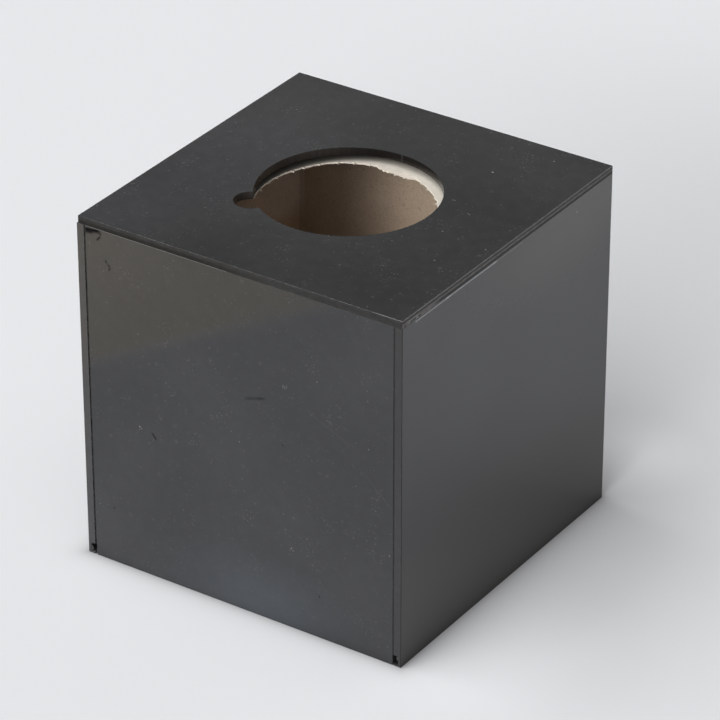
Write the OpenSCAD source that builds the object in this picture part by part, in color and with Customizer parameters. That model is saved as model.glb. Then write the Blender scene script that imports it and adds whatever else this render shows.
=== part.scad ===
// Cube tissue dispenser: a cover cemented together from glossy sheet plastic, a base panel that slides in two
// grooves, and the card carton that the cover hides. The front faces -Y, and the origin is the middle of the
// surface that the box stands on.

/* [Cover] */
// Width across the outer faces of the two side panels
box_w = 130; // [118:1:180]
// Depth across the outer faces of the front and back panels
box_d = 130; // [118:1:180]
// Height of the walls, up to the underside of the top plate
wall_h = 129.8; // [100:0.1:200]
// Thickness of the sheet that every panel is cut from
sheet_t = 2.9; // [2.4:0.1:5]
// Step between the top plate's left edge and the left side panel's outer face
plate_step = 0.6; // [0:0.1:2]

/* [Dispensing hole] */
// Diameter of the round hole in the top plate
hole_d = 64.1; // [50:0.1:80]
// How far the hole's centre lies to the right of the plate's middle
hole_off_x = 0.4; // [-2:0.1:2]
// How far the hole's centre lies behind the plate's middle
hole_off_y = -0.4; // [-2:0.1:2]
// Diameter of the finger notch in the hole's rim
notch_d = 12; // [8:0.1:20]
// Distance of the notch's centre outside the hole's rim
notch_offset = 1.2; // [0:0.1:3]
// Direction of the notch from the hole's centre, in degrees from +X
notch_angle = 225; // [0:5:360]

/* [Cemented joints] */
// Width of the joint between the front panel and the left side panel
joint_left = 0.6; // [0.2:0.1:1]
// Width of the joint between the front panel and the right side panel
joint_right = 0.3; // [0.2:0.1:1]
// Width of each joint between the back panel and a side panel
joint_back = 0.3; // [0.2:0.1:1]
// Depth at which the cement stands back from the outer faces
cement_recess = 0.2; // [0.1:0.1:1]

/* [Sliding base] */
// Height of the grooves' lower faces above the surface that the box stands on
groove_z = 0.8; // [0.5:0.1:6]
// Depth of each groove into the side panel's inner face
groove_depth = 1.7; // [1:0.1:2]
// Running clearance of the base panel in its grooves, on each side
base_clear = 0.2; // [0.1:0.05:0.4]
// Clearance between the base panel's leading edge and the front panel
base_end_gap = 0.2; // [0.1:0.1:1]

/* [Carton] */
// Space between the carton and the cover's walls, all round, when the carton stands in the middle
carton_gap = 6.1; // [3:0.1:10]
// How far the carton stands to the right of the middle
carton_shift_x = -1; // [-2.5:0.1:2.5]
// How far the carton stands behind the middle
carton_shift_y = -1.2; // [-2.5:0.1:2.5]
// Space between the carton's top and the underside of the top plate
head_gap = 2.5; // [1:0.1:10]
// Space between the carton's bottom and the base panel
carton_lift = 0.1; // [0.05:0.05:1]
// Thickness of the card
card_t = 0.5; // [0.3:0.1:1]
// Outer radius of the carton's upright folds
fold_r = 1.2; // [1.1:0.1:4]

/* [Carton opening] */
// Diameter of the torn-out opening
opening_d = 62.2; // [50:0.1:72]
// How far the opening's centre lies to the right of the lid's middle
opening_off_x = 0.6; // [-3:0.1:3]
// How far the opening's centre lies behind the lid's middle
opening_off_y = -0.3; // [-3:0.1:3]
// Diameter of the thumb tab's cut-out in the opening's rim
thumb_d = 18; // [10:0.1:24]
// Distance of the thumb cut-out's centre inside the opening's rim
thumb_inset = 1.2; // [0:0.1:4]
// Direction of the thumb cut-out from the opening's centre, in degrees from +X
thumb_angle = 218; // [0:1:360]
// Width of the card strip that stayed behind the straight tear
tear_w = 2.1; // [0:0.1:4]
// Length of that strip
tear_len = 12.2; // [2:0.1:24]
// Direction of the straight tear from the opening's centre, in degrees from +X
tear_angle = 88; // [0:1:360]

/* [Carton flaps] */
// Length of the bottom's two dust flaps, from the left and right walls
dust_flap = 38; // [20:1:45]
// Length of the bottom's inner main flap, from the back wall
main_flap = 70; // [40:1:90]
// Taper of a flap's two sides
flap_taper = 4; // [1:0.5:8]

/* [Hidden] */

$fn = 96;
// Overshoot of a cutting shape past the face that it opens
cut = 1;

black = [0.12, 0.12, 0.13];
edge_black = [0.16, 0.15, 0.14];
cement_grey = [0.3, 0.3, 0.3];
card = [0.72, 0.64, 0.52];

// Faces of the cover
left_x = -box_w / 2;
right_x = box_w / 2;
front_y = -box_d / 2;
back_y = box_d / 2;
inner_left = left_x + sheet_t;
inner_right = right_x - sheet_t;
inner_front = front_y + sheet_t;
inner_back = back_y - sheet_t;
inner_w = inner_right - inner_left;
inner_d = inner_back - inner_front;

// Top plate
plate_w = box_w - plate_step;
hole_x = right_x - plate_w / 2 + hole_off_x;
notch_reach = hole_d / 2 + notch_offset;

// Base panel and its grooves
groove_h = sheet_t + 2 * base_clear;
groove_top = groove_z + groove_h;
base_z = groove_z + base_clear;
base_w = inner_w + 2 * (groove_depth - base_clear);
base_y = inner_front + base_end_gap;

// Carton
carton_w = inner_w - 2 * carton_gap;
carton_d = inner_d - 2 * carton_gap;
carton_z = base_z + sheet_t + carton_lift;
carton_top = wall_h - head_gap;
carton_h = carton_top - carton_z;
carton_in_w = carton_w - 2 * card_t;
carton_in_d = carton_d - 2 * card_t;
opening_r = opening_d / 2;
thumb_reach = opening_r - thumb_inset;

// A block given by its lowest corner and its highest corner
module block(low, high) {
    translate(low) cube(high - low);
}

// A rectangle about the origin with round corners
module round_rect(w, d, r) {
    square([w - 2 * r, d], center = true);
    square([w, d - 2 * r], center = true);
    for (sx = [-1, 1], sy = [-1, 1])
        translate([sx * (w / 2 - r), sy * (d / 2 - r)]) circle(r);
}

// Cover

module top_plate() {
    color(black) difference() {
        block([right_x - plate_w, front_y, wall_h], [right_x, back_y, wall_h + sheet_t]);
        translate([hole_x, hole_off_y, wall_h - cut]) {
            cylinder(d = hole_d, h = sheet_t + 2 * cut);
            rotate(notch_angle) translate([notch_reach, 0, 0])
                cylinder(d = notch_d, h = sheet_t + 2 * cut);
        }
    }
}

// The right side panel, with its groove open at both ends
module side_panel() {
    difference() {
        block([inner_right, front_y, 0], [right_x, back_y, wall_h]);
        block([inner_right - cut, front_y - cut, groove_z],
              [inner_right + groove_depth, back_y + cut, groove_top]);
    }
}

module left_panel() {
    color(edge_black) mirror([1, 0, 0]) side_panel();
}

module right_panel() {
    color(edge_black) side_panel();
}

module front_panel() {
    color(black)
        block([inner_left + joint_left, front_y, 0], [inner_right - joint_right, inner_front, wall_h]);
}

// The back panel ends above the grooves, so that the base panel passes under it
module back_panel() {
    color(black)
        block([inner_left + joint_back, inner_back, groove_top], [inner_right - joint_back, back_y, wall_h]);
}

// The base panel's trailing edge lies flush with the back panel's outer face
module base_panel() {
    color(black) block([-base_w / 2, base_y, base_z], [base_w / 2, back_y, base_z + sheet_t]);
}

// Cement in the four upright joints
module cement_seams() {
    seam_front = front_y + cement_recess;
    seam_back = back_y - cement_recess;
    color(cement_grey) {
        block([inner_left, seam_front, groove_top], [inner_left + joint_left, inner_front, wall_h]);
        block([inner_right - joint_right, seam_front, groove_top], [inner_right, inner_front, wall_h]);
        block([inner_left, inner_back, groove_top], [inner_left + joint_back, seam_back, wall_h]);
        block([inner_right - joint_back, inner_back, groove_top], [inner_right, seam_back, wall_h]);
    }
}

// Carton

// The opening's outline: a circle less the strip behind the straight tear, and the thumb cut-out
module opening_outline() {
    translate([opening_off_x, opening_off_y]) {
        difference() {
            circle(opening_r);
            rotate(tear_angle) translate([opening_r - tear_w, -tear_len / 2])
                square([opening_r, tear_len]);
        }
        rotate(thumb_angle) translate([thumb_reach, 0]) circle(d = thumb_d);
    }
}

// A flap that starts at the carton's wall at x = 0 and narrows towards its free edge
module flap(length, width) {
    linear_extrude(card_t)
        polygon([[0, -width / 2], [length, flap_taper - width / 2], [length, width / 2 - flap_taper], [0, width / 2]]);
}

// The folded bottom: one full outer flap, the inner main flap and the two dust flaps, each a card thickness higher
module carton_bottom() {
    linear_extrude(card_t) round_rect(carton_w, carton_d, fold_r);
    translate([0, carton_in_d / 2, card_t]) rotate(-90) flap(main_flap, carton_in_w);
    for (side = [0, 180])
        rotate(side) translate([-carton_in_w / 2, 0, 2 * card_t]) flap(dust_flap, carton_in_d);
}

module carton_walls() {
    linear_extrude(carton_h) difference() {
        round_rect(carton_w, carton_d, fold_r);
        round_rect(carton_in_w, carton_in_d, fold_r - card_t);
    }
}

module carton_lid() {
    translate([0, 0, carton_h - card_t]) linear_extrude(card_t) difference() {
        round_rect(carton_w, carton_d, fold_r);
        opening_outline();
    }
}

module tissue_carton() {
    color(card) translate([carton_shift_x, carton_shift_y, carton_z]) {
        carton_bottom();
        carton_walls();
        carton_lid();
    }
}

top_plate();
left_panel();
right_panel();
front_panel();
back_panel();
base_panel();
cement_seams();
tissue_carton();
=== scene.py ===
"""Looks of the cube tissue dispenser: polished black sheet with sawn edges, cement, and the carton inside.

Lengths are in metres, or in millimetres times MM; node coordinates are in millimetres. The front faces -Y.
"""

import math
import random

import bpy
import bmesh
from mathutils import Matrix, Vector, noise


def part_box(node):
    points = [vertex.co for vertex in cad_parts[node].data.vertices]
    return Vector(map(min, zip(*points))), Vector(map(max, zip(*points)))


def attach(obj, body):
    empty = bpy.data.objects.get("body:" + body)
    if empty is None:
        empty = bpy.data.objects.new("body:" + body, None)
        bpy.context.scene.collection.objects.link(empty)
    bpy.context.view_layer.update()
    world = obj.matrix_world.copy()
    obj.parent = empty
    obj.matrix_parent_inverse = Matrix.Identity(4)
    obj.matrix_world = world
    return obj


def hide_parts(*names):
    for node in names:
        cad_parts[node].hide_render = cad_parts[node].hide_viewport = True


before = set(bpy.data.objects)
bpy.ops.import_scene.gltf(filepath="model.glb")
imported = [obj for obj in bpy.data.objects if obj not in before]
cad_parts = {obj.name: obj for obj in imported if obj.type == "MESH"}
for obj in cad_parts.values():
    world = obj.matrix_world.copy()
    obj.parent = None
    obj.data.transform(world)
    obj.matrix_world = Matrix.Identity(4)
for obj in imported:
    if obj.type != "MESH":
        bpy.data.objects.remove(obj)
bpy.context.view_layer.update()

MM = 0.001
COVER = "cover"
BASE = "base"
HALF_SIDE = 65.0

# The camera, solved from the box's corners in the photograph
CAMERA_AZIMUTH = 33.884
CAMERA_ELEVATION = 29.980
CAMERA_ROLL = 0.029
CAMERA_PLACE = (0.7098, -1.0494, 0.7975)
CAMERA_LENS = 212.48
CAMERA_SENSOR = 36.0

# The cover's sizes that the nodes' boxes don't give
HOLE_R = 32.05 * MM
HOLE_OFF = (0.4 * MM, -0.4 * MM)
NOTCH_R = 6.0 * MM
NOTCH_REACH = 33.25 * MM
NOTCH_ANGLE = math.radians(225)
NOTCH_WINDOW = math.radians(11.6)
GROOVE_LOW = 0.8 * MM
GROOVE_HIGH = 4.1 * MM
GROOVE_DEPTH = 1.7 * MM
ARRIS = 0.12 * MM
BORE_ARRIS = 0.08 * MM
FLAT_AREA = 1e-6
WALL_TOP = 129.8
SHEET_T = 2.9
CUT_START_X = 1.12
SHEET_IOR = 1.49
CUT_SHINE = 0.12

# Tones of the sheet and of the dust on it
SHEET_DARK = (0.0195, 0.0198, 0.0205)
SHEET_PALE = (0.0275, 0.0278, 0.0285)
DUST = (0.30, 0.31, 0.32)
STROKE_DARK = (0.004, 0.004, 0.005)
STROKE_PALE = (0.6, 0.61, 0.62)
SPECK = (0.75, 0.77, 0.78)

# The carton's sizes
CARD_T = 0.5 * MM
FOLD_R = 1.2 * MM
OPENING_R = 31.1 * MM
OPENING_OFF = (0.6 * MM, -0.3 * MM)
THUMB_R = 9.0 * MM
THUMB_REACH = 29.0 * MM
THUMB_ANGLE = math.radians(218)
TEAR_REACH = 29.0 * MM
TEAR_LEN = 11.4 * MM
TEAR_SLOPE = 2.2 * MM
TEAR_ANGLE = math.radians(88)
PERFORATION_PITCH = 5.6 * MM
TEAR_SWELLS = ((math.radians(128), 0.3, 0.7 * MM), (math.radians(34), 0.25, 0.4 * MM))
LID_SHADE_HEIGHT = 126.0
# Painted light and shade along the carton's back wall, from its left end to its middle, at half strength
BACK_WALL_PAINTED_LIGHT = ((0.0, 0.40), (0.16, 0.36), (0.30, 0.32), (0.45, 0.39), (0.62, 0.53), (0.8, 0.71), (1.0, 0.76))
DUST_FLAP = 38 * MM
MAIN_FLAP = 70 * MM
FLAP_TAPER = 4 * MM


# The light: soft lobes round the box, each with its azimuth from +X, elevation, strength and tightness
SOFT_BOXES = (
    (190, 20, 0.67, 30), (240, 20, 0.48, 30), (265, 20, 4.07, 30), (290, 20, 2.80, 30), (315, 20, 0.33, 30),
    (180, 40, 1.16, 30), (210, 40, 0.34, 30), (240, 40, 2.29, 30), (270, 40, 2.88, 30),
    (195, 60, 2.42, 30), (240, 60, 2.08, 30), (285, 60, 1.05, 30), (330, 60, 1.01, 30), (240, 80, 1.73, 30),
    (45, 8, 0.29, 12), (67.5, 30, 0.53, 12), (157.5, 30, 0.35, 12), (85, 12, 0.28, 40), (124, 15, 0.85, 60),
)

# A glowing warm card out of view to the left, which only the front wall mirrors
CARD_LINE = ((-0.1430, -0.1752), (-0.1012, -0.2470))
CARD_REACH = 0.8
CARD_GLOW = (0.96, 0.87, 0.71)
CARD_RIM = 3.7 * MM
CARD_RIM_GLOW = (1.0, 0.93, 0.95)


FLOOR_REACH = 4.0

# The floor's colour, how much darker a painted contact shadow makes it where the box stands on it, and soft
# patches of painted light and shade: each patch's middle, radius and change
FLOOR_COLOUR = (0.80, 0.81, 0.83)
CONTACT_SHADE = 0.45
CONTACT_REACH = 3.0
FLOOR_PAINTED_LIGHT = (
    ((84.0, -40.0), (50.0, 60.0), 0.17), ((56.0, 96.0), (38.0, 32.0), 0.19),
    ((76.0, 10.0), (30.0, 60.0), 0.10), ((40.0, 300.0), (280.0, 210.0), -0.13),
)


# Meshes

def place(name, data):
    """Makes an object of the data in the scene."""
    made = bpy.data.objects.new(name, data)
    bpy.context.scene.collection.objects.link(made)
    return made


def link(name, mesh, body, replaces, materials, degrees=35):
    """Makes a piece of the mesh, which rides on the body and stands for the CAD nodes named."""
    if degrees:
        shade_by_angle(mesh, degrees)
    piece = place(name, mesh)
    for material in materials:
        mesh.materials.append(material)
    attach(piece, body)
    if replaces:
        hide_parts(*replaces)


def shade_by_angle(mesh, degrees):
    """Smooth shading apart from sharp edges. Large faces square to the frame stay flat, to mirror truly."""
    bm = bmesh.new()
    bm.from_mesh(mesh)
    for face in bm.faces:
        square = max(abs(c) for c in face.normal) > 0.9999
        face.smooth = not (square and face.calc_area() > FLAT_AREA)
    for edge in bm.edges:
        sharp = len(edge.link_faces) != 2 or edge.calc_face_angle(0.0) > math.radians(degrees)
        edge.smooth = not sharp
    bm.to_mesh(mesh)
    bm.free()


def mesh_of(bm, name):
    """Turns the bmesh into a mesh and frees it."""
    mesh = bpy.data.meshes.new(name)
    bm.to_mesh(mesh)
    bm.free()
    return mesh


def angle_from(way, angle):
    """The angle as seen from the way, within half a turn of it."""
    return (angle - way + math.pi) % (2 * math.pi) - math.pi


def mesh_from(name, verts, faces, slots=None):
    """A mesh from lists, with outward normals, and slots giving each face's material."""
    mesh = bpy.data.meshes.new(name)
    mesh.from_pydata([tuple(v) for v in verts], [], faces)
    if slots:
        mesh.polygons.foreach_set("material_index", slots)
    bm = bmesh.new()
    bm.from_mesh(mesh)
    bmesh.ops.recalc_face_normals(bm, faces=bm.faces)
    bm.to_mesh(mesh)
    bm.free()
    return mesh


def ring_mesh(name, rings, strip_slots, closed=True, caps=()):
    """Joins rings of equally many points into strips of quads.

    strip_slots has each strip's material, or None. caps has the ring, middle and material of each end fan.
    """
    count = len(rings[0])
    verts = [p for ring in rings for p in ring]
    faces, slots = [], []
    strips = len(rings) if closed else len(rings) - 1
    for k in range(strips):
        if strip_slots[k] is None:
            continue
        a, b = k * count, ((k + 1) % len(rings)) * count
        for i in range(count):
            j = (i + 1) % count
            faces.append((a + i, a + j, b + j, b + i))
            slots.append(strip_slots[k])
    for ring, middle, slot in caps:
        verts.append(middle)
        for i in range(count):
            faces.append((ring * count + i, ring * count + (i + 1) % count, len(verts) - 1))
            slots.append(slot)
    return mesh_from(name, verts, faces, slots)


def finish_slots(bm, thin, in_groove=None):
    """Faces across the thin axis get material 0, sawn edges 1, arrises that look up 2 and all others 3."""
    for face in bm.faces:
        if max(abs(c) for c in face.normal) > 0.99:
            cut = in_groove is not None and in_groove(face.calc_center_median())
            face.material_index = 0 if abs(face.normal[thin]) > 0.99 and not cut else 1
        else:
            face.material_index = 2 if face.normal.z > 0.2 else 3


def slab_mesh(name, low, high, thin):
    """A sheet with broken edges."""
    low, high = Vector(low), Vector(high)
    bm = bmesh.new()
    bmesh.ops.create_cube(bm, size=1)
    placed = Matrix.Translation((low + high) / 2) @ Matrix.Diagonal((*(high - low), 1))
    bmesh.ops.transform(bm, matrix=placed, verts=bm.verts)
    bmesh.ops.bevel(bm, geom=list(bm.edges), offset=ARRIS, segments=2, profile=0.6, affect="EDGES")
    finish_slots(bm, thin)
    return mesh_of(bm, name)


def grooved_mesh(name, low, high, inward):
    """A side panel with the base's groove in its inner face. inward is +1 where that face looks to +X."""
    outer, inner = (low.x, high.x) if inward > 0 else (high.x, low.x)
    floor_x = inner - inward * GROOVE_DEPTH
    outline = [
        (outer, low.z), (inner, low.z), (inner, GROOVE_LOW), (floor_x, GROOVE_LOW),
        (floor_x, GROOVE_HIGH), (inner, GROOVE_HIGH), (inner, high.z), (outer, high.z),
    ]
    bm = bmesh.new()
    verts = [bm.verts.new((x, low.y, z)) for x, z in outline]
    face = bm.faces.new(verts)
    made = bmesh.ops.extrude_face_region(bm, geom=[face])
    moved = [g for g in made["geom"] if isinstance(g, bmesh.types.BMVert)]
    bmesh.ops.translate(bm, vec=(0, high.y - low.y, 0), verts=moved)
    bmesh.ops.recalc_face_normals(bm, faces=bm.faces)
    convex = [e for e in bm.edges if e.is_convex and e.calc_face_angle(0.0) > 0.5]
    bmesh.ops.bevel(bm, geom=convex, offset=ARRIS, segments=2, profile=0.6, affect="EDGES")

    def in_groove(middle):
        return GROOVE_LOW - ARRIS < middle.z < GROOVE_HIGH + ARRIS and inward * (inner - middle.x) > ARRIS

    finish_slots(bm, 0, in_groove)
    return mesh_of(bm, name)


# Node helpers

def rgba(colour):
    """A colour from its three parts, or a grey from one number."""
    return (*colour, 1) if isinstance(colour, tuple) else (colour, colour, colour, 1)


def plug(tree, socket, value):
    """Links the value to the socket if it is a socket too, and sets it there if it is plain."""
    if isinstance(value, bpy.types.NodeSocket):
        tree.links.new(value, socket)
    else:
        socket.default_value = rgba(value) if socket.type == "RGBA" else value


def add(tree, kind, inputs=None, **settings):
    """Adds a shader node. Inputs are sockets to link or plain values."""
    made = tree.nodes.new("ShaderNode" + kind)
    for key, value in settings.items():
        setattr(made, key, value)
    for key, value in (inputs or {}).items():
        plug(tree, made.inputs[key], value)
    return made


def maths(tree, operation, a, b=0.0, c=0.0, clamp=False):
    made = add(tree, "Math", {0: a, 1: b, 2: c}, operation=operation)
    made.use_clamp = clamp
    return made.outputs[0]


def linear(tree, value, factor, more, clamp=False):
    return maths(tree, "MULTIPLY_ADD", value, factor, more, clamp)


def vectors(tree, operation, a, b=(0, 0, 0)):
    made = add(tree, "VectorMath", {0: a, 1: b}, operation=operation)
    return made.outputs[1 if operation in ("LENGTH", "DISTANCE", "DOT_PRODUCT") else 0]


def blend(tree, share, a, b):
    return add(tree, "Mix", {0: share, 6: a, 7: b}, data_type="RGBA").outputs[2]


def between(tree, value, low, high, to_low=0.0, to_high=1.0):
    """Maps value from low..high to to_low..to_high, clamped and eased."""
    made = add(tree, "MapRange", {0: value, 1: low, 2: high, 3: to_low, 4: to_high},
               interpolation_type="SMOOTHSTEP")
    return made.outputs[0]


def noise_node(tree, vector, scale, detail=3.0, roughness=0.5):
    inputs = {"Vector": vector, "Scale": scale, "Detail": detail, "Roughness": roughness}
    return add(tree, "TexNoise", inputs).outputs[0]


def streaks(tree, vector, stretch, scale, detail, roughness):
    """Noise that is drawn out along the axes whose stretch is small."""
    return noise_node(tree, vectors(tree, "MULTIPLY", vector, stretch), scale, detail, roughness)


def scale_node(tree, vector, factor):
    return add(tree, "VectorMath", {0: vector, "Scale": factor}, operation="SCALE").outputs[0]


def parts_of(tree, vector):
    return add(tree, "SeparateXYZ", {0: vector}).outputs


def times(tree, *shares):
    """The product of all the shares."""
    product = shares[0]
    for share in shares[1:]:
        product = maths(tree, "MULTIPLY", product, share)
    return product


def cells_of(tree, flat, pitch):
    """The plane in units of the pitch, and its scattered cells."""
    scaled = scale_node(tree, flat, 1.0 / pitch)
    inputs = {"Vector": scaled, "Scale": 1.0, "Randomness": 1.0}
    return scaled, add(tree, "TexVoronoi", inputs, voronoi_dimensions="2D").outputs


def new_material(name):
    """A material with its tree, its shader and the spot on the piece in millimetres."""
    material = bpy.data.materials.new(name)
    material.use_nodes = True
    tree = material.node_tree
    tree.nodes.clear()
    shader = add(tree, "BsdfPrincipled")
    add(tree, "OutputMaterial", {"Surface": shader.outputs[0]})
    spot = scale_node(tree, add(tree, "TexCoord").outputs["Object"], 1 / MM)
    return material, tree, shader, spot


def finish(tree, shader, base, roughness, shine=None, bump=None):
    """Plugs in colour and roughness. shine is a sheet's specular level, bump a height, strength and reach."""
    plug(tree, shader.inputs["Base Color"], base)
    plug(tree, shader.inputs["Roughness"], roughness)
    if shine is not None:
        shader.inputs["IOR"].default_value = SHEET_IOR
        plug(tree, shader.inputs["Specular IOR Level"], shine)
    if bump:
        height, strength, distance = bump
        made = add(tree, "Bump", {"Height": height, "Strength": strength, "Distance": distance})
        tree.links.new(made.outputs[0], shader.inputs["Normal"])


def on_plane(tree, vector, plane):
    """The two coordinates that lie in the plane, as a flat vector."""
    parts = parts_of(tree, vector)
    first, second = ("xyz".index(axis) for axis in plane)
    return add(tree, "CombineXYZ", {0: parts[first], 1: parts[second]}).outputs[0]


def fleck_mask(tree, flat, pitch, length, width, share, bend=0.25):
    """Short bent flecks, turned at random. share of the cells have one."""
    scaled, cells = cells_of(tree, flat, pitch)
    offset = vectors(tree, "SUBTRACT", scaled, cells["Position"])
    chances = add(tree, "SeparateColor", {0: cells["Color"]}).outputs
    angle = times(tree, chances[0], 2 * math.pi)
    turned = add(tree, "VectorRotate", {"Vector": offset, "Angle": angle}, rotation_type="Z_AXIS")
    parts = parts_of(tree, turned.outputs[0])
    along = times(tree, parts[0], pitch)
    across = maths(tree, "ADD", times(tree, parts[1], pitch), times(tree, along, along, bend))
    reach = times(tree, linear(tree, chances[1], 0.8, 0.4), length)
    left_over = maths(tree, "SUBTRACT", reach, maths(tree, "ABSOLUTE", along))
    in_length = between(tree, left_over, 0.0, width)
    in_width = between(tree, maths(tree, "ABSOLUTE", across), width, 0.4 * width)
    present = maths(tree, "LESS_THAN", chances[2], share)
    strength = linear(tree, chances[0], 0.7, 0.3)
    return times(tree, in_length, in_width, present, strength)


def dot_mask(tree, flat, pitch, radius, share):
    """Round specks, one at most in each cell of the pitch, of uneven size and strength."""
    _, cells = cells_of(tree, flat, pitch)
    chances = add(tree, "SeparateColor", {0: cells["Color"]}).outputs
    reach = linear(tree, chances[0], radius / pitch, 0.4 * radius / pitch)
    inside = between(tree, maths(tree, "DIVIDE", cells["Distance"], reach), 1.0, 0.0)
    present = maths(tree, "LESS_THAN", chances[2], share)
    strength = linear(tree, maths(tree, "POWER", chances[1], 3.0), 0.8, 0.2)
    return times(tree, inside, present, strength)


def stroke_mask(tree, flat, start, end, width, soft_ends=0.5):
    """A soft straight stroke between two points of the plane, in millimetres."""
    ax, ay = start
    bx, by = end
    length = math.hypot(bx - ax, by - ay)
    ux, uy = (bx - ax) / length, (by - ay) / length
    offset = vectors(tree, "SUBTRACT", flat, (ax, ay, 0))
    along = vectors(tree, "DOT_PRODUCT", offset, (ux, uy, 0))
    across = maths(tree, "ABSOLUTE", vectors(tree, "DOT_PRODUCT", offset, (-uy, ux, 0)))
    half = length / 2
    from_middle = maths(tree, "ABSOLUTE", maths(tree, "SUBTRACT", along, half))
    return times(tree, between(tree, from_middle, half, half * soft_ends), between(tree, across, width, 0.0))


def spot_mask(tree, flat, middle, radius, core=0.3):
    """A soft round spot of the plane, in millimetres. radius may be a pair, for an oval."""
    wide, tall = radius if isinstance(radius, tuple) else (radius, radius)
    offset = vectors(tree, "SUBTRACT", flat, (*middle, 0))
    scaled = vectors(tree, "MULTIPLY", offset, (1 / wide, 1 / tall, 0))
    return between(tree, vectors(tree, "LENGTH", scaled), 1.0, core)


def blend_reach(tree, spot, base, reach, least):
    """Blends a colour into base over a range of one axis, in patches whose weakest share is least."""
    axis, low, high, fade, colour = reach
    level = parts_of(tree, spot)["xyz".index(axis)]
    inside = times(tree, between(tree, level, low - fade, low + fade),
                   between(tree, level, high + fade, high - fade))
    patchy = between(tree, noise_node(tree, spot, 0.45, 3.0, 0.7), 0.3, 0.5, least, 1.0)
    return blend(tree, times(tree, inside, patchy), base, colour)


# Materials

def acrylic(name, plane, dust=1.0, dark_strokes=(), pale_strokes=(), specks=(), dusty=(), painted_light_spots=(),
            painted_light_rise=(1.0, 1.0), cloud=0.1, waves=0.06, seed=0.0):
    """Polished black sheet: dust in clusters, a thin haze, wiping marks, named marks and a faint waviness.

    dusty has the middles of dusty places. The rise scales the colour from a wall's lower to its upper side:
    painted shade low down and painted light high up. The soft spots are painted light, shade and reflection.
    """
    material, tree, shader, spot = new_material(name)
    true_flat = on_plane(tree, spot, plane)
    flat = vectors(tree, "ADD", true_flat, (seed, seed * 1.7, 0))
    clusters = between(tree, noise_node(tree, flat, 0.085, 3.0, 0.55), 0.51, 0.66)
    for middle in dusty:
        clusters = maths(tree, "MAXIMUM", clusters, spot_mask(tree, true_flat, middle, 6.0))
    fine = dot_mask(tree, flat, 1.2, 0.24, 0.6)
    curls = times(tree, fleck_mask(tree, flat, 2.3, 0.5, 0.12, 0.6, 0.9), 0.8)
    dusted = times(tree, maths(tree, "MAXIMUM", fine, curls), clusters)
    single = times(tree, dot_mask(tree, flat, 4.2, 0.40, 0.6), 0.4)
    blurs = times(tree, dot_mask(tree, flat, 7.0, 0.9, 0.6), 0.2)
    hairs = times(tree, fleck_mask(tree, flat, 5.2, 0.9, 0.07, 0.3, 0.35), 0.4)
    for kind in (single, blurs, hairs):
        dusted = maths(tree, "MAXIMUM", dusted, kind)
    haze_and_painted_light = between(tree, noise_node(tree, flat, 0.018, 1.0, 0.5), 0.3, 0.75)
    base = blend(tree, haze_and_painted_light, SHEET_DARK, SHEET_PALE)
    # Painted shade low on the wall and painted light high up
    if painted_light_rise != (1.0, 1.0):
        base = scale_node(tree, base, between(tree, parts_of(tree, true_flat)[1], 0.0, WALL_TOP, *painted_light_rise))
    # Soft spots of painted light, shade and reflection
    for middle, radius, colour, strength in painted_light_spots:
        haze_and_painted_light = times(tree, spot_mask(tree, true_flat, middle, radius, 0.0), strength)
        base = blend(tree, haze_and_painted_light, base, colour)
    mottle = between(tree, noise_node(tree, flat, 0.2, 3.0, 0.55), 0.3, 0.7, 1 - cloud, 1 + cloud)
    dusted = times(tree, dusted, dust)
    base = blend(tree, dusted, scale_node(tree, base, mottle), DUST)
    # Dark strokes: dirt, and painted shade at the front's upper left corner under the plate; they weaken the
    # sheen
    dirt_and_painted_shade = None
    for start, end, width, strength in dark_strokes:
        mark = times(tree, stroke_mask(tree, true_flat, start, end, width), strength)
        base = blend(tree, mark, base, STROKE_DARK)
        dirt_and_painted_shade = mark if dirt_and_painted_shade is None else maths(tree, "MAXIMUM", dirt_and_painted_shade, mark)
    for start, end, width, strength in pale_strokes:
        mark = times(tree, stroke_mask(tree, true_flat, start, end, width, 0.9), strength)
        base = blend(tree, mark, base, STROKE_PALE)
    for middle, radius, strength in specks:
        mark = times(tree, spot_mask(tree, true_flat, middle, radius), strength)
        base = blend(tree, mark, base, SPECK)
    wiped = streaks(tree, flat, (0.3, 1.0, 1.0), 0.1, 4.0, 0.6)
    rough = between(tree, wiped, 0.3, 0.8, 0.045, 0.085)
    rough = linear(tree, dusted, 0.3, rough, clamp=True)
    shine = 0.5 if dirt_and_painted_shade is None else linear(tree, dirt_and_painted_shade, -0.5, 0.5, clamp=True)
    finish(tree, shader, base, rough, shine, (noise_node(tree, flat, 0.04, 1.0, 0.4), waves, 0.0003))
    return material


def brown(*tones):
    """Pairs of place and tone, as stops of a ramp of faint browns."""
    return [(height, (tone, 0.93 * tone, 0.88 * tone)) for height, tone in tones]


def ramp_node(tree, share, stops):
    """A colour ramp from pairs of place and colour."""
    made = add(tree, "ValToRGB", {0: share})
    elements = made.color_ramp.elements
    while len(elements) < len(stops):
        elements.new(0.5)
    for element, (position, colour) in zip(elements, stops):
        element.position = position
        element.color = rgba(colour)
    return made.outputs[0]


def sawn_edge(name, tint, dark):
    """The sheet's sawn edge: dull and softly mottled, with saw lines across."""
    material, tree, shader, spot = new_material(name)
    lines = streaks(tree, spot, (0.12, 0.12, 1.0), 1.8, 2.0, 0.7)
    mottle = noise_node(tree, spot, 0.35, 5.0, 0.7)
    share = between(tree, linear(tree, lines, 0.3, mottle), 0.45, 0.9)
    rough = between(tree, mottle, 0.3, 0.7, 0.12, 0.22)
    finish(tree, shader, blend(tree, share, dark, tint), rough, 0.5, (lines, 0.1, 0.0001))
    return material


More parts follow.
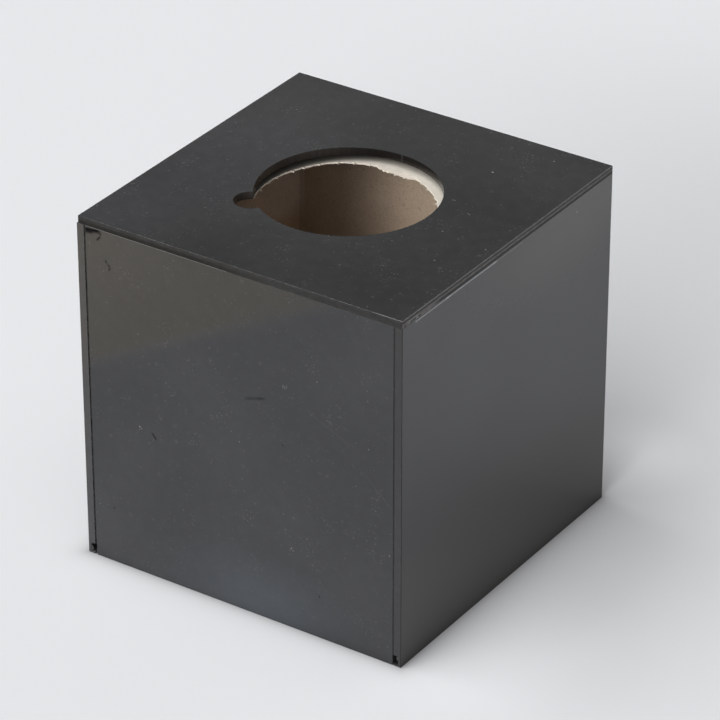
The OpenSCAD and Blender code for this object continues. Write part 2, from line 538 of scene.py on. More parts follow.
def plate_edge(name, along, stops, far_stops, change, patches, unevenness):
    """The plate's cut edge, built up in layers from below: cement, saw marks and the polished rim.

    stops are the colours by height. far_stops are those beyond the change along the edge. Besides the edge's
    own tone, they hold painted light and shade: pale bands are painted glints and dark bands painted shade.
    """
    material, tree, shader, spot = new_material(name)
    parts = parts_of(tree, spot)
    wander = streaks(tree, spot, (0.35, 0.35, 1.0), 0.7, 3.0, 0.6)
    height = linear(tree, parts[2], 1 / SHEET_T, -WALL_TOP / SHEET_T)
    height = maths(tree, "ADD", height, linear(tree, wander, 0.16, -0.08))
    travel = between(tree, parts["xyz".index(along)], *change)
    base = blend(tree, travel, ramp_node(tree, height, stops), ramp_node(tree, height, far_stops))
    mottle = streaks(tree, spot, (0.5, 0.5, 1.0), 0.9, 4.0, 0.7)
    base = scale_node(tree, base, between(tree, mottle, 0.3, 0.7, 1 - unevenness, 1 + unevenness))
    flat = on_plane(tree, spot, "xz" if along == "x" else "yz")
    for start, end, width, colour in patches:
        base = blend(tree, stroke_mask(tree, flat, start, end, width, 0.8), base, colour)
    finish(tree, shader, base, 0.3, CUT_SHINE)
    return material


def arris_line(name, pale, dark, shine=0.5, reach=None):
    """A broken edge of the sheet, pale in the dashes where it glints: painted glints.

    reach is the axis and range where the painted glint is palest, with the fade and the colour there.
    """
    material, tree, shader, spot = new_material(name)
    dashes = noise_node(tree, spot, 0.5, 4.0, 0.75)
    base = blend(tree, between(tree, dashes, 0.4, 0.7), dark, pale)
    if reach:
        base = blend_reach(tree, spot, base, reach, 0.5)
    finish(tree, shader, base, between(tree, dashes, 0.4, 0.7, 0.15, 0.4), shine)
    return material


def cut_bore(name):
    """The wall of the hole and the notch: cut and half polished, with faint upright tool lines."""
    material, tree, shader, spot = new_material(name)
    lines = streaks(tree, spot, (1.0, 1.0, 0.05), 1.6, 2.0, 0.6)
    base = blend(tree, between(tree, lines, 0.35, 0.75), (0.023, 0.020, 0.018), (0.030, 0.027, 0.025))
    x, y, _ = parts_of(tree, spot)
    # Painted light and shade: lighter towards the left end, darker from the middle rightwards
    base = scale_node(tree, base, between(tree, x, -31.0, -9.0, 1.9, 0.58))
    beside = maths(tree, "ABSOLUTE", maths(tree, "SUBTRACT", x, CUT_START_X))
    start = times(tree, between(tree, beside, 0.22, 0.05), maths(tree, "GREATER_THAN", y, 0.0))
    base = blend(tree, start, base, 0.07)
    rough = between(tree, lines, 0.3, 0.7, 0.12, 0.25)
    finish(tree, shader, base, rough, CUT_SHINE, (lines, 0.15, 0.0001))
    return material


def cement(name, pale=None, tone=0.006, starved=0.05):
    """Set solvent cement: black, wet-looking, with starved spots. pale is the axis and range of a painted
    glint.
    """
    material, tree, shader, spot = new_material(name)
    spots = between(tree, noise_node(tree, spot, 1.3, 3.0, 0.6), 0.58, 0.72)
    base = blend(tree, spots, tone, (starved, 0.96 * starved, 0.9 * starved))
    if pale:
        base = blend_reach(tree, spot, base, pale, 0.35)
    finish(tree, shader, base, between(tree, spots, 0.0, 1.0, 0.15, 0.45))
    return material


def board(name, light, dark, fleck_share=0.5, walls=False):
    """Carton board: soft cloudy tone with paper fibres and flecks.

    walls paints light and shade onto the back wall and the left wall as seen in them: painted light and shade
    along the back wall, and painted light high up on the left wall.
    """
    material, tree, shader, spot = new_material(name)
    cloud = noise_node(tree, spot, 0.12, 5.0, 0.7)
    grain = noise_node(tree, spot, 1.6, 4.0, 0.75)
    share = linear(tree, grain, 0.7, times(tree, cloud, 0.3))
    base = blend(tree, between(tree, share, 0.35, 0.65), dark, light)
    specks = noise_node(tree, spot, 0.9, 2.0, 0.5)
    flecked = times(tree, between(tree, specks, 0.64, 0.74), fleck_share)
    base = blend(tree, flecked, base, tuple(0.35 * c for c in dark))
    if walls:
        x, y, z = parts_of(tree, spot)
        # Painted light and shade along the back wall
        tone = ramp_node(tree, linear(tree, x, 1 / 56, 1.0), BACK_WALL_PAINTED_LIGHT)
        tone = vectors(tree, "MULTIPLY", tone, (2, 2, 2))
        on_back = between(tree, y, 52.6, 53.4)
        base = vectors(tree, "MULTIPLY", base, blend(tree, on_back, 1.0, tone))
        # Painted light high up on the left wall
        painted_light_high_left = times(tree, between(tree, x, -54.9, -55.3), between(tree, z, 80.0, 92.0))
        painted_light_high_left = times(tree, painted_light_high_left, between(tree, y, 55.4, 53.0))
        base = blend(tree, painted_light_high_left, base, vectors(tree, "MULTIPLY", base, (1.35, 1.55, 1.9)))
    finish(tree, shader, base, 0.85, bump=(grain, 0.3, 0.0001))
    return material


def paper(name, colour, shadow, middle, near, far, least):
    """The carton's white facing: smooth coated paper with a faint cloud.

    The lid is darkened by painted shade away from the middle, where it lies under the plate, between near and
    far, down to the least share.
    """
    material, tree, shader, spot = new_material(name)
    cloud = noise_node(tree, spot, 0.3, 4.0, 0.6)
    base = blend(tree, between(tree, cloud, 0.35, 0.65), shadow, colour)
    # Painted shade on the lid, away from the middle, where the plate overhangs it
    offset = vectors(tree, "SUBTRACT", on_plane(tree, spot, "xy"), (*middle, 0))
    away = vectors(tree, "LENGTH", offset)
    on_lid = maths(tree, "GREATER_THAN", parts_of(tree, spot)[2], LID_SHADE_HEIGHT)
    share = times(tree, between(tree, away, near, far), on_lid)
    base = blend(tree, share, base, tuple(least * c for c in shadow))
    finish(tree, shader, base, 0.5, bump=(noise_node(tree, spot, 4.0, 2.0, 0.6), 0.1, 0.0001))
    return material


# The cover

def angles_round(count, turns):
    """Directions round a square piece: even steps, and a few close ones that turn each corner."""
    even = [math.radians(360 * k / count) for k in range(count)]
    close = [math.radians(45 + 90 * k + side * turn) for k in range(4) for turn in turns for side in (-1, 1)]
    return sorted(even + close)


def hole_point(angle, grow):
    """A point of the hole's outline, notch included, in the angle's direction. grow widens the outline."""
    big, small = HOLE_R + grow, NOTCH_R + grow
    meet = math.acos((big ** 2 + NOTCH_REACH ** 2 - small ** 2) / (2 * big * NOTCH_REACH))
    off = angle_from(NOTCH_ANGLE, angle)
    if abs(off) < NOTCH_WINDOW:
        span = math.pi - math.asin(big * math.sin(meet) / small)
        if big * math.cos(meet) > NOTCH_REACH:
            span = math.pi - span
        turn = NOTCH_ANGLE + off / NOTCH_WINDOW * span
        return (NOTCH_REACH * math.cos(NOTCH_ANGLE) + small * math.cos(turn),
                NOTCH_REACH * math.sin(NOTCH_ANGLE) + small * math.sin(turn))
    share = (abs(off) - NOTCH_WINDOW) / (math.pi - NOTCH_WINDOW)
    turn = NOTCH_ANGLE + math.copysign(meet + share * (math.pi - meet), off)
    return (big * math.cos(turn), big * math.sin(turn))


def square_point(angle, half_x, half_y, corner):
    """Where a ray at the angle meets a rectangle with round corners."""
    c, s = math.cos(angle), math.sin(angle)
    reach = min(half_x / abs(c) if abs(c) > 1e-9 else 1e9, half_y / abs(s) if abs(s) > 1e-9 else 1e9)
    x, y = reach * c, reach * s
    cx, cy = half_x - corner, half_y - corner
    if abs(x) > cx and abs(y) > cy:
        mx, my = math.copysign(cx, x), math.copysign(cy, y)
        dot = mx * c + my * s
        reach = dot + math.sqrt(max(dot * dot - (mx * mx + my * my - corner * corner), 0.0))
        x, y = reach * c, reach * s
    return x, y


def top_plate(materials):
    low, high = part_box("top_plate")
    middle = (low + high) / 2
    half = (high - low) / 2
    angles = angles_round(720, (0.05, 0.1, 0.14))
    a, b = ARRIS, BORE_ARRIS

    def inner(grow, z):
        return [(middle.x + HOLE_OFF[0] + x, middle.y + HOLE_OFF[1] + y, z)
                for x, y in (hole_point(t, grow) for t in angles)]

    def outer(inset, z):
        return [(middle.x + x, middle.y + y, z)
                for x, y in (square_point(t, half.x - inset, half.y - inset, a) for t in angles)]

    rings = [
        inner(b, high.z), inner(0.3 * b, high.z - 0.3 * b), inner(0, high.z - b),
        inner(0, low.z + b), inner(0.3 * b, low.z + 0.3 * b), inner(b, low.z),
        outer(a, low.z), outer(0.3 * a, low.z + 0.3 * a), outer(0, low.z + a),
        outer(0, high.z - a), outer(0.3 * a, high.z - 0.3 * a), outer(a, high.z),
    ]
    slots = [2, 2, 2, 2, 2, 0, 1, 1, 1, 3, 3, 0]
    mesh = ring_mesh("top_plate_mesh", rings, slots)
    for polygon in mesh.polygons:
        if polygon.material_index == 1 and abs(polygon.normal.x) > abs(polygon.normal.y):
            polygon.material_index = 4
    link("plate", mesh, COVER, ["top_plate"], materials)


def cover_panels(materials):
    """The walls, each made anew with broken edges inside its CAD node's box."""
    for side, make, facing in (
        ("front", slab_mesh, 1), ("back", slab_mesh, 1),
        ("left", grooved_mesh, 1), ("right", grooved_mesh, -1),
    ):
        node = side + "_panel"
        mesh = make(side + "_wall_mesh", *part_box(node), facing)
        link(side + "_wall", mesh, COVER, [node], materials[node])


def base_sheet(materials):
    mesh = slab_mesh("base_mesh", *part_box("base_panel"), 2)
    link("base_sheet", mesh, BASE, ["base_panel"], materials)


def seam_mesh(name, x0, x1, face_y, inner_y, z0, z1, depth, seed):
    """A bead of cement in an upright joint. Its outer surface stands back by depth, more or less."""
    rows = int((z1 - z0) / (0.25 * MM))
    columns = 5
    outward = 1 if face_y > inner_y else -1
    verts, faces = [], []
    for r in range(rows + 1):
        z = z0 + (z1 - z0) * r / rows
        for c in range(columns + 1):
            u = c / columns
            x = x0 + (x1 - x0) * u
            rough = noise.noise(Vector((u * 0.8 + seed, z / MM * 0.9, seed))) + 0.5 * noise.noise(
                Vector((u * 2 + seed, z / MM * 3.1, 2 * seed)))
            back = depth * (1.0 + 0.8 * rough + 0.7 * (2 * u - 1) ** 2)
            verts.append((x, face_y - outward * max(back, 0.02 * MM), z))
    wide = columns + 1
    for r in range(rows):
        for c in range(columns):
            a = r * wide + c
            faces.append((a, a + 1, a + wide + 1, a + wide))
    start = len(verts)
    for r in (0, rows):
        for c in (0, columns):
            x, _, z = verts[r * wide + c]
            verts.append((x, inner_y, z))
    low_left, low_right, painted_light_high_left, high_right = range(start, start + 4)
    faces.append((low_left, low_right, high_right, painted_light_high_left))
    faces.append([*range(wide), low_right, low_left])
    faces.append([*range(rows * wide, start), high_right, painted_light_high_left])
    faces.append([*range(0, start, wide), painted_light_high_left, low_left])
    faces.append([*range(columns, start, wide), high_right, low_right])
    return mesh_from(name, verts, faces)


def seams(materials):
    """The four upright beads of cement."""
    front_low, front_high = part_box("front_panel")
    back_low, back_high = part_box("back_panel")
    _, left_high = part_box("left_panel")
    right_low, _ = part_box("right_panel")
    z0, z1 = GROOVE_HIGH, front_high.z
    spans = (
        ("seam_front_left", left_high.x, front_low.x, front_low.y, front_high.y, 0.2 * MM, 1.3),
        ("seam_front_right", front_high.x, right_low.x, front_low.y, front_high.y, 0.04 * MM, 2.9),
        ("seam_back_left", left_high.x, back_low.x, back_high.y, back_low.y, 0.25 * MM, 4.1),
        ("seam_back_right", back_high.x, right_low.x, back_high.y, back_low.y, 0.25 * MM, 5.7),
    )
    for (name, x0, x1, face_y, inner_y, depth, seed), material in zip(spans, materials):
        mesh = seam_mesh(name + "_mesh", x0, x1, face_y, inner_y, z0, z1, depth, seed)
        link(name, mesh, COVER, ["cement_seams"], [material], 60)


def bead_mesh(name, start, end, out, radius, sink, seed):
    """A thin uneven bead along the joint under the plate, half round towards out and pointed at its ends.

    sink is how far its middle line lies inside the wall's face, which the bead doesn't pass.
    """
    start, end, out = Vector(start), Vector(end), Vector(out)
    length = (end - start).length
    rows = int(length / (0.4 * MM))
    rings = []
    for r in range(rows + 1):
        middle = start.lerp(end, r / rows)
        slow, quick = noise.noise(Vector((r * 0.21, seed, 0))), noise.noise(Vector((r * 0.9, seed, 1)))
        wobble = 1 + 0.25 * slow + 0.15 * quick
        taper = min(1.0, r / 3 + 0.15, (rows - r) / 3 + 0.15)
        ring = []
        for k in range(9):
            turn = math.radians(-90 + 180 * k / 8)
            size = min(radius * wobble * taper, 0.98 * sink)
            ring.append(middle + out * size * math.cos(turn) + Vector((0, 0, 1)) * size * math.sin(turn))
        ring.append(middle - out * radius * 0.4)
        rings.append(ring)
    return ring_mesh(name, rings, [0] * rows, False, ((0, rings[0][-1], 0), (rows, rings[-1][-1], 0)))


def lump_mesh(name, middle, half, seed):
    """A small rounded lump of set cement."""
    bm = bmesh.new()
    bmesh.ops.create_icosphere(bm, subdivisions=3, radius=1.0)
    for vert in bm.verts:
        swell = 1 + 0.25 * noise.noise(vert.co * 1.3 + Vector((seed, seed, seed)))
        vert.co = Vector([m + h * swell * c for m, h, c in zip(middle, half, vert.co)])
    mesh = mesh_of(bm, name)
    mesh.polygons.foreach_set("use_smooth", [True] * len(mesh.polygons))
    return mesh


def beads(front_bead, side_bead, lump):
    """Cement along the plate's joint, in the grooves' front ends and in a few squeezed-out spots."""
    low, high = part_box("top_plate")
    wall_low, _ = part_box("right_panel")
    _, left_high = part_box("left_panel")
    z = low.z
    face_y, face_x = low.y, high.x
    sink = 0.16 * MM
    radius = 0.15 * MM
    end = 0.3 * MM
    y, x = face_y + sink, face_x - sink
    lines = (
        ("bead_front", (low.x + end, y, z), (face_x - end, y, z), (0, -1, 0), 3, front_bead),
        ("bead_right", (x, face_y + end, z), (x, high.y - end, z), (1, 0, 0), 8, side_bead),
    )
    for name, start, end, out, seed, material in lines:
        mesh = bead_mesh(name + "_mesh", start, end, out, radius, sink, seed)
        link(name, mesh, COVER, (), [material], 60)
    right_x, left_x, y = wall_low.x + GROOVE_DEPTH, left_high.x - GROOVE_DEPTH, face_y + 0.5 * MM
    lumps = (
        ("right", (right_x - 0.1 * MM, y, 3.3 * MM), (0.8 * MM, 0.4 * MM, 1.1 * MM), 2.0),
        ("left", (left_x, y, 1.5 * MM), (0.7 * MM, 0.4 * MM, 1.2 * MM), 5.0),
        ("left_top", (left_x + 0.1 * MM, y, GROOVE_HIGH - 0.1 * MM), (0.5 * MM, 0.4 * MM, 0.5 * MM), 7.0),
    )
    for ending, middle, half, seed in lumps:
        name = "lump_groove_" + ending
        link(name, lump_mesh(name + "_mesh", middle, half, seed), COVER, (), [lump], None)


# The carton

def opening_radius(angle):
    """Distance from the opening's middle to its plain outline: circle, straight tear and thumb cut-out."""
    off = angle_from(TEAR_ANGLE, angle)
    reach = OPENING_R
    aside = abs(TEAR_REACH * math.tan(off)) if abs(off) < math.pi / 3 else 1.0
    if aside < TEAR_LEN / 2 + TEAR_SLOPE:
        share = min(max((TEAR_LEN / 2 + TEAR_SLOPE - aside) / TEAR_SLOPE, 0.0), 1.0)
        reach += (min(reach, TEAR_REACH / math.cos(off)) - reach) * share
    for way, span, more in TEAR_SWELLS:
        off = angle_from(way, angle)
        reach += more * math.exp(-(off / span) ** 2)
    off = angle_from(THUMB_ANGLE, angle)
    side = THUMB_REACH * math.sin(off)
    if abs(side) < THUMB_R and math.cos(off) > 0:
        reach = max(reach, THUMB_REACH * math.cos(off) + math.sqrt(THUMB_R ** 2 - side ** 2))
    return reach


def torn_radius(angle, layer):
    """The outline with torn nibs and a ragged edge. layer shifts the raggedness between the card's plies."""
    reach = opening_radius(angle)
    travel = angle * OPENING_R
    step = travel / PERFORATION_PITCH
    nib = int(math.floor(step))
    chance = random.Random(nib * 7 + 3)
    centre = chance.uniform(0.3, 0.7)
    height = chance.uniform(0.5, 1.1) * MM
    width = chance.uniform(0.03, 0.06)
    reach -= height * math.exp(-((step - nib - centre) / width) ** 2)
    off = angle_from(TEAR_ANGLE, angle)
    torn = math.exp(-(off / 0.3) ** 4)
    where = Vector((math.cos(angle) * 40, math.sin(angle) * 40, layer * 3.3))
    ragged = noise.noise(where) * 0.16 + noise.noise(where * 4) * 0.12
    slow = noise.noise(where * 0.35)
    return reach + MM * (ragged * (1 + 1.5 * torn) + slow * 0.25 * torn)


def bared_width(angle):
    """How far the facing is stripped back, which bares the torn ply. It is widest at the straight tear."""
    off = angle_from(TEAR_ANGLE, angle)
    torn = math.exp(-((off + 0.12) / 0.14) ** 2)
    where = Vector((math.cos(angle) * 40, math.sin(angle) * 40, 7.7))
    width = 0.18 + 0.2 * noise.noise(where * 0.8) + 0.12 * noise.noise(where * 3)
    width += torn * (2.3 + 0.5 * noise.noise(where * 0.5) + 0.5 * noise.noise(where * 2.1))
    return max(width, 0.06) * MM


def carton(materials):
    """The folded card as one closed skin: lid, walls and bottom outside, then the same inside."""
    low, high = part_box("tissue_carton")
    middle = (low + high) / 2
    half_x, half_y = (high.x - low.x) / 2, (high.y - low.y) / 2
    angles = angles_round(1440, (0.1, 0.25, 0.4, 0.5))
    top, bottom = high.z, low.z
    fold = 0.6 * MM

    def torn(layer, z):
        return [(middle.x + OPENING_OFF[0] + r * math.cos(t), middle.y + OPENING_OFF[1] + r * math.sin(t), z)
                for t, r in ((t, torn_radius(t, layer)) for t in angles)]

    def square(inset, z, bow=0.0):
        ring = []
        swell = bow * math.sin(math.pi * (z - bottom) / (top - bottom))
        for t in angles:
            x, y = square_point(t, half_x - inset, half_y - inset, max(FOLD_R - inset, 0.1 * MM))
            push = swell * (1 - min(abs(x) / half_x, abs(y) / half_y) ** 2) / math.hypot(x, y)
            ring.append((middle.x + x * (1 - push), middle.y + y * (1 - push), z))
        return ring

    def lid(share, z, layer, bared=0.0):
        ring = []
        for t in angles:
            r = torn_radius(t, layer) + bared * bared_width(t)
            x1, y1 = square_point(t, half_x - fold, half_y - fold, FOLD_R)
            x0, y0 = OPENING_OFF[0] + r * math.cos(t), OPENING_OFF[1] + r * math.sin(t)
            x, y = x0 + (x1 - x0) * share, y0 + (y1 - y0) * share
            sag = 0.1 * MM * (1 - share) * (0.5 + 0.5 * math.sin(2 * t + 0.7))
            ring.append((middle.x + x, middle.y + y, z - sag))
        return ring

    walls = 14
    heights = [bottom + fold + (top - bottom - 2 * fold) * k / walls for k in range(walls + 1)]
    bow = 0.5 * MM
    inside_bottom = bottom + CARD_T

    # Each ring goes with the material of the strip that follows it
    sunk = 0.1 * MM
    skin = [(lid(0.0, top - 1.3 * sunk, 0.0), 2), (lid(0.0, top - sunk, 0.0, 0.5), 2),
            (lid(0.0, top - sunk, 0.0, 0.95), 2)]
    skin += [(lid(s, top, 0.0, 1.0), 0) for s in (0.0, 0.03, 0.08, 0.2, 0.5, 1.0)]
    skin += [(square(0.3 * fold, top - 0.3 * fold), 0)]
    skin += [(square(0, z, bow=bow), 0) for z in reversed(heights)]
    skin += [(square(0.3 * fold, bottom + 0.3 * fold), 0), (square(fold, bottom), 0),
             (square(half_x * 0.6, bottom), None)]
    outside = len(skin)
    skin += [(square(half_x * 0.6, inside_bottom), 1), (square(CARD_T, inside_bottom), 1)]
    skin += [(square(CARD_T, min(z, top - CARD_T), bow=bow), 1) for z in heights if z > inside_bottom]
    skin += [(lid(s, top - CARD_T, 0.5), 1) for s in (1.0, 0.5, 0.2, 0.08, 0.03)]
    skin += [(lid(0.0, top - CARD_T, 0.5), 2), (torn(0.35, top - 0.75 * CARD_T), 2),
             (torn(0.15, top - 0.4 * CARD_T), 2)]

    # The bottom's outer and inner skins end in a cap each, so they aren't joined there
    caps = [(outside - 1, (middle.x, middle.y, bottom), 0), (outside, (middle.x, middle.y, inside_bottom), 1)]
    mesh = ring_mesh("carton_mesh", [ring for ring, _ in skin], [slot for _, slot in skin], caps=caps)
    link("carton", mesh, COVER, ["tissue_carton"], materials, 40)


def flap_mesh(name, root, along, across, length, width, z):
    """A flap of the bottom, from its fold at root, narrowing by FLAP_TAPER on each side."""
    corners = []
    for reach, side in ((0, -1), (length, -1), (length, 1), (0, 1)):
        half = width / 2 - (FLAP_TAPER if reach else 0)
        corners.append(Vector(root) + Vector(along) * reach + Vector(across) * side * half)
    bm = bmesh.new()
    face = bm.faces.new([bm.verts.new((c.x, c.y, z)) for c in corners])
    made = bmesh.ops.extrude_face_region(bm, geom=[face])
    moved = [g for g in made["geom"] if isinstance(g, bmesh.types.BMVert)]
    bmesh.ops.translate(bm, vec=(0, 0, CARD_T), verts=moved)
    bmesh.ops.recalc_face_normals(bm, faces=bm.faces)
    bmesh.ops.bevel(bm, geom=list(bm.edges), offset=0.08 * MM, segments=1, affect="EDGES")
    return mesh_of(bm, name)


def flaps(material):
    low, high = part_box("tissue_carton")
    middle = (low + high) / 2
    x0, x1 = low.x + CARD_T, high.x - CARD_T
    y0, y1 = low.y + CARD_T, high.y - CARD_T
    spans = (
        ("main_flap", (middle.x, y1, 0), (0, -1, 0), (1, 0, 0), MAIN_FLAP, x1 - x0, low.z + CARD_T),
        ("dust_flap_left", (x0, middle.y, 0), (1, 0, 0), (0, 1, 0), DUST_FLAP, y1 - y0, low.z + 2 * CARD_T),
        ("dust_flap_right", (x1, middle.y, 0), (-1, 0, 0), (0, 1, 0), DUST_FLAP, y1 - y0, low.z + 2 * CARD_T),
    )
    for name, root, along, across, length, width, z in spans:
        mesh = flap_mesh(name + "_mesh", root, along, across, length, width, z)
        link(name, mesh, COVER, ["tissue_carton"], [material], None)


# Stage, light and camera

def stage():
    mesh = bpy.data.meshes.new("floor_mesh")
    corners = [(x * FLOOR_REACH, y * FLOOR_REACH, 0) for x, y in ((-1, -1), (1, -1), (1, 1), (-1, 1))]
    mesh.from_pydata(corners, [], [(0, 1, 2, 3)])
    material, tree, shader, spot = new_material("pale_floor")
    flat = on_plane(tree, spot, "xy")
    beyond = vectors(tree, "SUBTRACT", vectors(tree, "ABSOLUTE", flat), (HALF_SIDE, HALF_SIDE, 0.0))
    distance = vectors(tree, "LENGTH", vectors(tree, "MAXIMUM", beyond, (0.0, 0.0, 0.0)))
    # Painted contact shadow round the box's foot
    fade = maths(tree, "EXPONENT", times(tree, distance, -1 / CONTACT_REACH))
    kept = linear(tree, fade, -CONTACT_SHADE, 1.0)
    # Soft patches of painted light and shade
    for middle, radius, change in FLOOR_PAINTED_LIGHT:
        tone = linear(tree, spot_mask(tree, flat, middle, radius, 0.0), change, 1.0)
        kept = times(tree, kept, tone)
    finish(tree, shader, scale_node(tree, FLOOR_COLOUR, kept), 0.6)
    mesh.materials.append(material)
    place("floor", mesh)


def mirrored_card():
    """The glowing warm card that the front wall mirrors. Nothing else sees it: it lights and shades nothing.
    """
    start, end = (Vector((*p, 0.0005)) for p in CARD_LINE)
    along = (end - start).normalized()
    away = Vector((along.y, -along.x, 0))
    if away.x > 0:
        away = -away
    corners = [start - along * CARD_REACH, end + along * CARD_REACH]
    corners += [corners[1] + away * CARD_REACH, corners[0] + away * CARD_REACH]
    corners += [corners[0] - away * CARD_RIM, corners[1] - away * CARD_RIM]
    mesh = bpy.data.meshes.new("mirrored_card_mesh")
    mesh.from_pydata([tuple(c) for c in corners], [], [(0, 1, 2, 3), (0, 4, 5, 1)])
    mesh.polygons.foreach_set("material_index", [0, 1])
    card = place("mirrored_card", mesh)
    for name, glow in (("glowing_warm_card", CARD_GLOW), ("glowing_warm_card_rim", CARD_RIM_GLOW)):
        material, tree, shader, _ = new_material(name)
        plug(tree, shader.inputs["Base Color"], 0.0)
        plug(tree, shader.inputs["Emission Color"], glow)
        plug(tree, shader.inputs["Emission Strength"], 1.0)
        mesh.materials.append(material)
    for ray in ("camera", "diffuse", "shadow", "transmission"):
        setattr(card, "visible_" + ray, False)


def sky():
    """Soft studio light, as lobes that add up round the box."""
    world = bpy.data.worlds.new("studio")
    bpy.context.scene.world = world
    world.use_nodes = True
    tree = world.node_tree
    tree.nodes.clear()
    way = add(tree, "TexCoord").outputs["Generated"]
    total = None
    for azimuth, elevation, strength, tightness in SOFT_BOXES:
        az, el = math.radians(azimuth), math.radians(elevation)
        middle = (math.cos(az) * math.cos(el), math.sin(az) * math.cos(el), math.sin(el))
        towards = vectors(tree, "DOT_PRODUCT", way, middle)
        near = linear(tree, towards, tightness, -tightness)
        power = maths(tree, "EXPONENT", near)
        total = linear(tree, power, strength, 0.0 if total is None else total)
    background = add(tree, "Background", {"Color": 1.0, "Strength": total})
    add(tree, "OutputWorld", {"Surface": background.outputs[0]})


def camera():
    data = bpy.data.cameras.new("camera")
    data.sensor_width = CAMERA_SENSOR
    data.lens = CAMERA_LENS
    data.clip_start, data.clip_end = 0.01, 50
    eye = place("camera", data)
    az, el = math.radians(CAMERA_AZIMUTH), math.radians(CAMERA_ELEVATION)
    forward = Vector((-math.sin(az) * math.cos(el), math.cos(az) * math.cos(el), -math.sin(el)))
    eye.rotation_mode = "QUATERNION"
    turn = forward.to_track_quat("-Z", "Y")
    roll = Matrix.Rotation(math.radians(CAMERA_ROLL), 3, forward).to_quaternion()
    eye.rotation_quaternion = roll @ turn
    eye.location = CAMERA_PLACE
    bpy.context.scene.camera = eye


FRONT_MARKS = {
    "dark_strokes": (
        ((1.6, 83.6), (11.6, 86.8), 0.9, 0.42), ((7.4, 85.5), (11.4, 86.7), 0.7, 0.42),
        ((-36.3, 57.9), (-34.0, 55.3), 0.7, 0.8), ((17.4, 71.5), (18.6, 70.6), 0.6, 0.6),
        ((-53.6, 21.9), (-52.8, 21.9), 0.8, 0.9), ((31.9, 16.5), (32.7, 16.5), 0.8, 0.9),
        # Painted shade just under the plate at the upper left corner
        ((-64.5, 128.2), (-54.0, 129.3), 1.5, 0.98), ((-64.0, 127.5), (-57.5, 128.3), 1.4, 0.9),
        ((-57.1, 125.2), (-54.9, 127.7), 0.65, 0.8), ((-54.9, 127.7), (-55.7, 129.0), 0.65, 0.8),
        ((-53.6, 119.2), (-52.8, 117.8), 0.65, 0.75), ((-52.8, 117.8), (-51.4, 116.7), 0.65, 0.75),
        ((-51.4, 116.7), (-52.5, 115.2), 0.65, 0.75),
    ),
    "pale_strokes": (
        ((26.9, 88.1), (45.3, 79.4), 0.25, 0.022), ((50.5, 71.0), (61.0, 61.0), 0.25, 0.022),
        ((18.2, 93.0), (18.3, 94.3), 0.22, 0.16), ((18.9, 92.7), (19.0, 94.0), 0.22, 0.14),
        ((19.7, 93.1), (19.6, 94.2), 0.2, 0.12),
    ),
    "specks": (
        ((-41.1, 58.5), 0.36, 0.26), ((-40.4, 58.0), 0.3, 0.18), ((-41.3, 57.4), 0.28, 0.12),
        ((0.3, 66.4), 0.36, 0.12), ((21.0, 31.7), 0.36, 0.24), ((21.7, 31.0), 0.3, 0.16),
        ((20.4, 30.8), 0.28, 0.1), ((60.3, 42.7), 0.36, 0.12), ((52.1, 80.8), 0.36, 0.12),
        ((31.8, 99.7), 0.36, 0.12),
    ),
    "dusty": ((38.3, 88.0), (3.9, 37.7), (29.3, 51.7), (29.7, 105.3), (50.5, 12.1)),
    # Painted reflection: lighter and bluer low down, warmer at the upper left
    "painted_light_spots": (((8.0, 6.0), (52.0, 24.0), (0.052, 0.062, 0.074), 0.52),
              ((-15.0, 0.0), (62.0, 8.0), (0.060, 0.064, 0.070), 0.25),
              ((0.0, 60.0), (200.0, 160.0), (0.026, 0.040, 0.066), 0.05),
              ((-62.0, 132.0), (70.0, 62.0), (0.048, 0.045, 0.040), 0.42)),
}

TOP_MARKS = {
    "pale_strokes": (
        ((25.9, 17.3), (27.6, 16.2), 0.2, 0.3), ((33.0, 13.6), (34.4, 13.9), 0.2, 0.3),
        ((42.6, 8.4), (43.9, 7.8), 0.2, 0.3),
    ),
    "specks": (
        ((33.7, 38.1), 0.5, 0.4), ((46.8, 56.5), 0.42, 0.25), ((42.5, -6.8), 0.42, 0.22),
        ((51.2, -25.1), 0.42, 0.22), ((61.1, -9.6), 0.4, 0.22),
    ),
    # Painted light: lighter on the left half, at the front left corner and at the back right
    "painted_light_spots": (((-45.0, 0.0), (62.0, 80.0), (0.050, 0.052, 0.057), 0.32),
              ((-58.0, -60.0), (34.0, 40.0), (0.050, 0.052, 0.058), 0.35),
              ((52.0, 55.0), (45.0, 45.0), 0.050, 0.2)),
}

RIGHT_MARKS = {
    # The rise is painted shade low down and painted light high up
    "painted_light_rise": (0.6, 1.35),
    "specks": (((42.0, 125.0), 0.45, 0.22),),
    "pale_strokes": (
        # A painted glint just under the joint with the plate
        ((-58.0, 129.05), (-36.0, 129.1), 0.42, 0.42), ((-40.0, 129.15), (-8.0, 129.15), 0.38, 0.5),
        ((-24.0, 129.1), (8.0, 129.05), 0.35, 0.12),
    ),
    # Painted light high up towards the back, and painted shade low down
    "painted_light_spots": (((45.0, 128.0), (95.0, 36.0), (0.088, 0.084, 0.080), 0.76),
              ((0.0, 5.0), (120.0, 60.0), (0.013, 0.010, 0.006), 0.85)),
}

# The run of cement under the plate's right edge: a dark stain with a pale rim
STAINS = (
    ((-61.6, 130.5), (-55.6, 130.6), 1.2, (0.22, 0.217, 0.21)),
    ((-60.9, 130.3), (-56.8, 130.5), 0.62, 0.004),
    ((-55.6, 130.5), (-54.4, 130.3), 0.62, 0.006),
    ((-64.0, 130.4), (-62.9, 130.2), 0.5, 0.010),
)


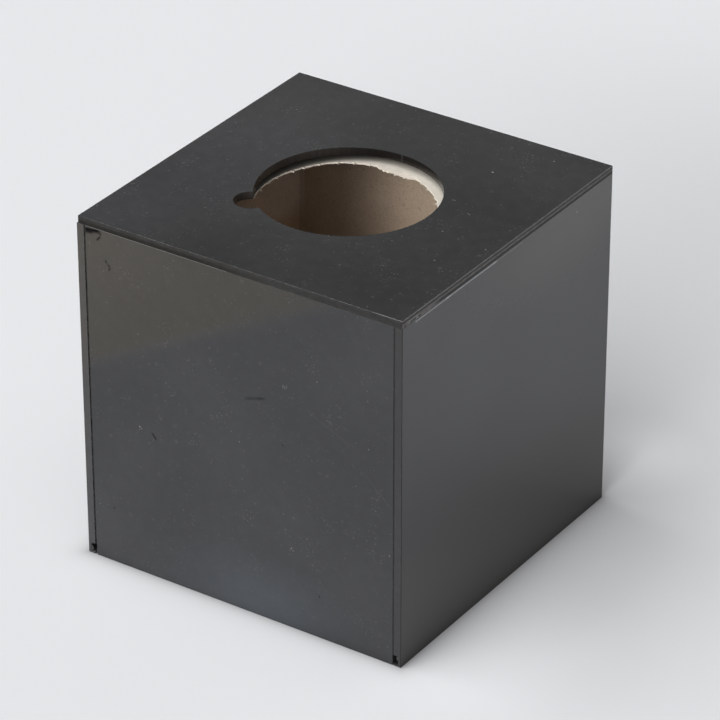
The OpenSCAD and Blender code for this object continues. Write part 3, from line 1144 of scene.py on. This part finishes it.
def build():
    # The arrises' pale dashes and reaches are painted glints
    painted_glint = arris_line("painted_glint_arris", 0.11, 0.04,
                      reach=("x", 55.0, 70.0, 3.0, 0.2))
    front_glint = arris_line("front_glint", 0.08, 0.03,
                             reach=("x", -61.0, -4.0, 3.0, 0.13))
    side_glint = arris_line("side_glint", 0.05, 0.02,
                            reach=("y", -52.0, -11.0, 4.0, 0.09))
    dark = arris_line("dark_arris", 0.05, 0.015)
    dull = arris_line("dull_arris", 0.020, 0.010, 0.05)
    # The plate's front edge is darker low down at its left: painted shade under the plate.
    plate_front = plate_edge(
        "plate_front_edge", "x", ((0.0, 0.014), (0.3, 0.012), (0.5, 0.018), (0.65, 0.028), (1.0, 0.028)),
        ((0.0, 0.030), (0.5, 0.026), (1.0, 0.034)), (-15.0, 20.0), (), 0.2)
    plate_side = plate_edge(
        "plate_side_edge", "y",
        brown((0, 0.1), (0.2, 0.13), (0.45, 0.13), (0.58, 0.12), (0.64, 0.02), (0.73, 0.02), (0.8, 0.075)),
        brown((0, 0.008), (0.2, 0.012), (0.36, 0.075), (0.54, 0.155), (0.62, 0.014), (0.72, 0.018),
              (0.8, 0.075)), (-48.0, -42.0), STAINS, 0.3)
    strip_left = sawn_edge("left_wall_edge", (0.044, 0.043, 0.045), (0.036, 0.035, 0.037))
    strip_right = sawn_edge("right_wall_edge", (0.024, 0.024, 0.025), (0.019, 0.019, 0.020))
    hidden = sawn_edge("plain_edge", 0.045, 0.030)
    bore = cut_bore("cut_bore")
    top = acrylic("sheet_top", "xy", 0.55, **TOP_MARKS)
    top_plate([top, plate_front, bore, painted_glint, plate_side])
    front = acrylic("sheet_front", "xz", 0.34, cloud=0.05, seed=11, **FRONT_MARKS)
    right = acrylic("sheet_right", "yz", 0.07, cloud=0.02, waves=0.015, seed=41, **RIGHT_MARKS)
    # Each wall's third material, on its arrises that look up, carries painted glints; the fourth is darker.
    walls = {
        "front_panel": [front, hidden, front_glint, dull],
        "back_panel": [acrylic("sheet_back", "xz", 0.12, seed=23), hidden, painted_glint, dark],
        "left_panel": [acrylic("sheet_left", "yz", 0.12, seed=37), strip_left, painted_glint, dark],
        "right_panel": [right, strip_right, side_glint, dull],
    }
    cover_panels(walls)
    base_sheet([acrylic("sheet_base", "xy", 0.15, seed=53), hidden, painted_glint, dark])
    grey_cement = cement("grey_cement", None, 0.024)
    front_joints = [cement("dark_cement", None, 0.011, 0.018), cement("thin_cement", None, 0.004, 0.012)]
    seams(front_joints + [grey_cement, grey_cement])
    # The beads' pale reaches are painted glints along the joint under the plate
    front_bead = cement("front_cement", ("x", -61.0, -4.0, 3.0, 0.10))
    side_bead = cement("side_cement", ("y", -70.0, -48.0, 3.0, 0.08), 0.012)
    beads(front_bead, side_bead, cement("lump_cement", None, 0.034))
    facing = paper("white_facing", (0.75, 0.70, 0.62), (0.67, 0.62, 0.54), (6.8, 2.7), 31.6, 37.8, 0.26)
    inside = board("grey_brown_board", (0.62, 0.50, 0.38), (0.50, 0.39, 0.29), walls=True)
    ply = board("torn_ply", (0.80, 0.74, 0.66), (0.64, 0.57, 0.48), 0.1)
    carton([facing, inside, ply])
    flaps(inside)


camera()
build()
stage()
mirrored_card()
sky()

bpy.context.scene.view_settings.view_transform = "Standard"
